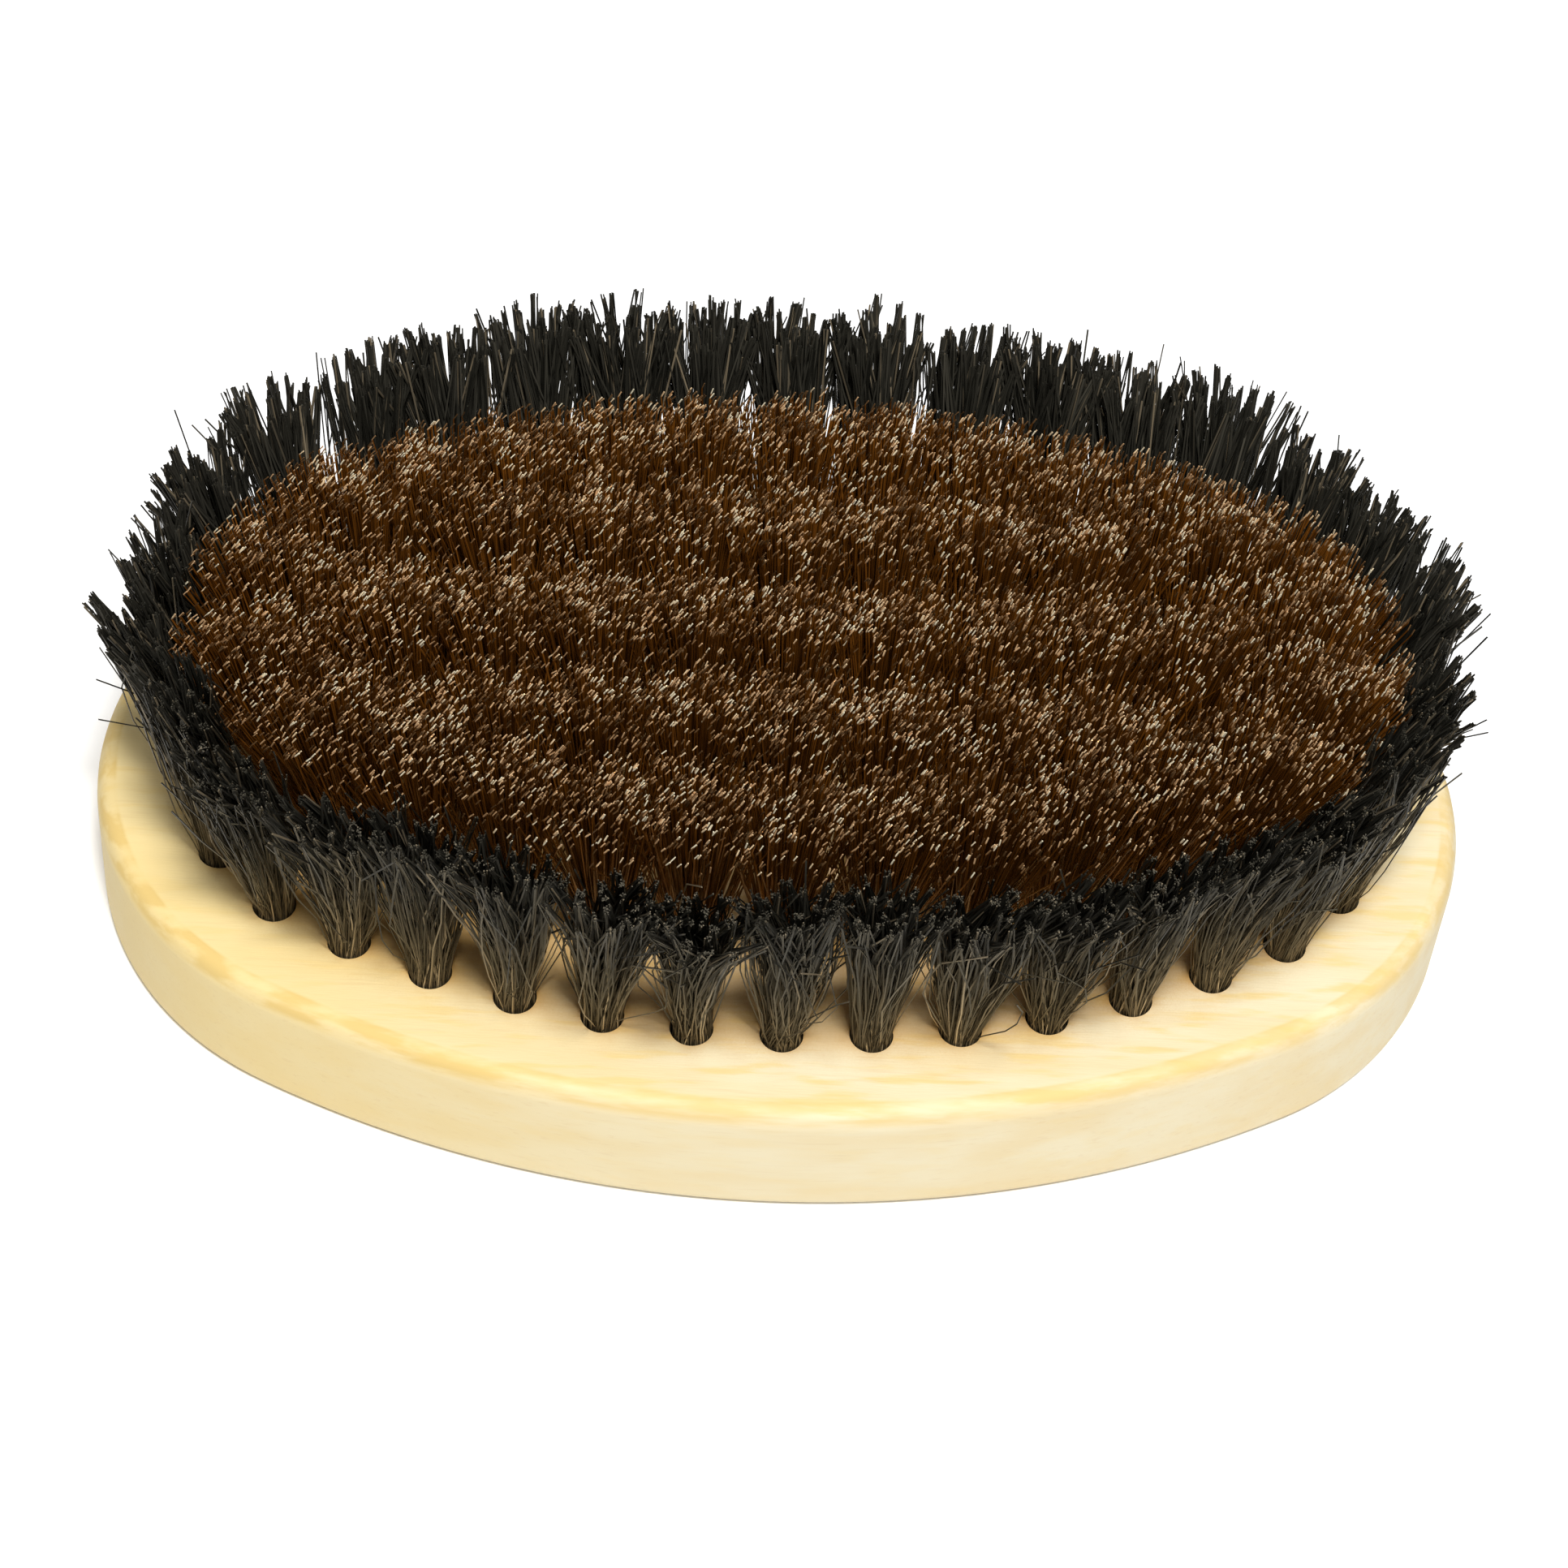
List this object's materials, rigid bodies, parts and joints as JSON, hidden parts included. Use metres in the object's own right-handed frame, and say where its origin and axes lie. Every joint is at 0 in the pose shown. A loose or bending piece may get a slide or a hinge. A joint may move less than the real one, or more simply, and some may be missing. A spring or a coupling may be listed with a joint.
{
  "type": "palm brush",
  "caption": "Oval wooden palm brush with a dark boar bristle ring around a field of fine bronze wire tufts.",
  "frame": {"origin": "centre of the flat back face that the block rests on, at the bottom of the part", "axes": "+X along the length of the block, +Y across it, +Z from the back face to the bristle tips"},
  "size_m": [0.12, 0.073, 0.036],
  "materials": {
    "beech": "pale sanded beech, plain or lightly oiled",
    "boar_bristle": "natural boar bristle, near black",
    "bronze_wire": "fine bronze wire, dull shafts and bright cut tips",
    "anchor_wire": "flat drawn wire"
  },
  "bodies": {
    "root": {"handle_block": "beech", "boar_tuft_01": "boar_bristle", "boar_tuft_02": "boar_bristle", "boar_tuft_03": "boar_bristle", "boar_tuft_04": "boar_bristle", "boar_tuft_05": "boar_bristle", "boar_tuft_06": "boar_bristle", "boar_tuft_07": "boar_bristle", "boar_tuft_08": "boar_bristle", "boar_tuft_09": "boar_bristle", "boar_tuft_10": "boar_bristle", "boar_tuft_11": "boar_bristle", "boar_tuft_12": "boar_bristle", "boar_tuft_13": "boar_bristle", "boar_tuft_14": "boar_bristle", "boar_tuft_15": "boar_bristle", "boar_tuft_16": "boar_bristle", "boar_tuft_17": "boar_bristle", "boar_tuft_18": "boar_bristle", "boar_tuft_19": "boar_bristle", "boar_tuft_20": "boar_bristle", "boar_tuft_21": "boar_bristle", "boar_tuft_22": "boar_bristle", "boar_tuft_23": "boar_bristle", "boar_tuft_24": "boar_bristle", "boar_tuft_25": "boar_bristle", "boar_tuft_26": "boar_bristle", "boar_tuft_27": "boar_bristle", "boar_tuft_28": "boar_bristle", "boar_tuft_29": "boar_bristle", "boar_tuft_30": "boar_bristle", "boar_tuft_31": "boar_bristle", "boar_tuft_32": "boar_bristle", "boar_tuft_33": "boar_bristle", "boar_tuft_34": "boar_bristle", "wire_oval_back": "bronze_wire", "wire_oval_left": "bronze_wire", "wire_oval_front": "bronze_wire", "wire_oval_right": "bronze_wire", "wire_row_back": "bronze_wire", "wire_row_middle": "bronze_wire", "wire_row_front": "bronze_wire", "boar_anchors": "anchor_wire", "wire_anchors": "anchor_wire"}
  },
  "joints": []
}
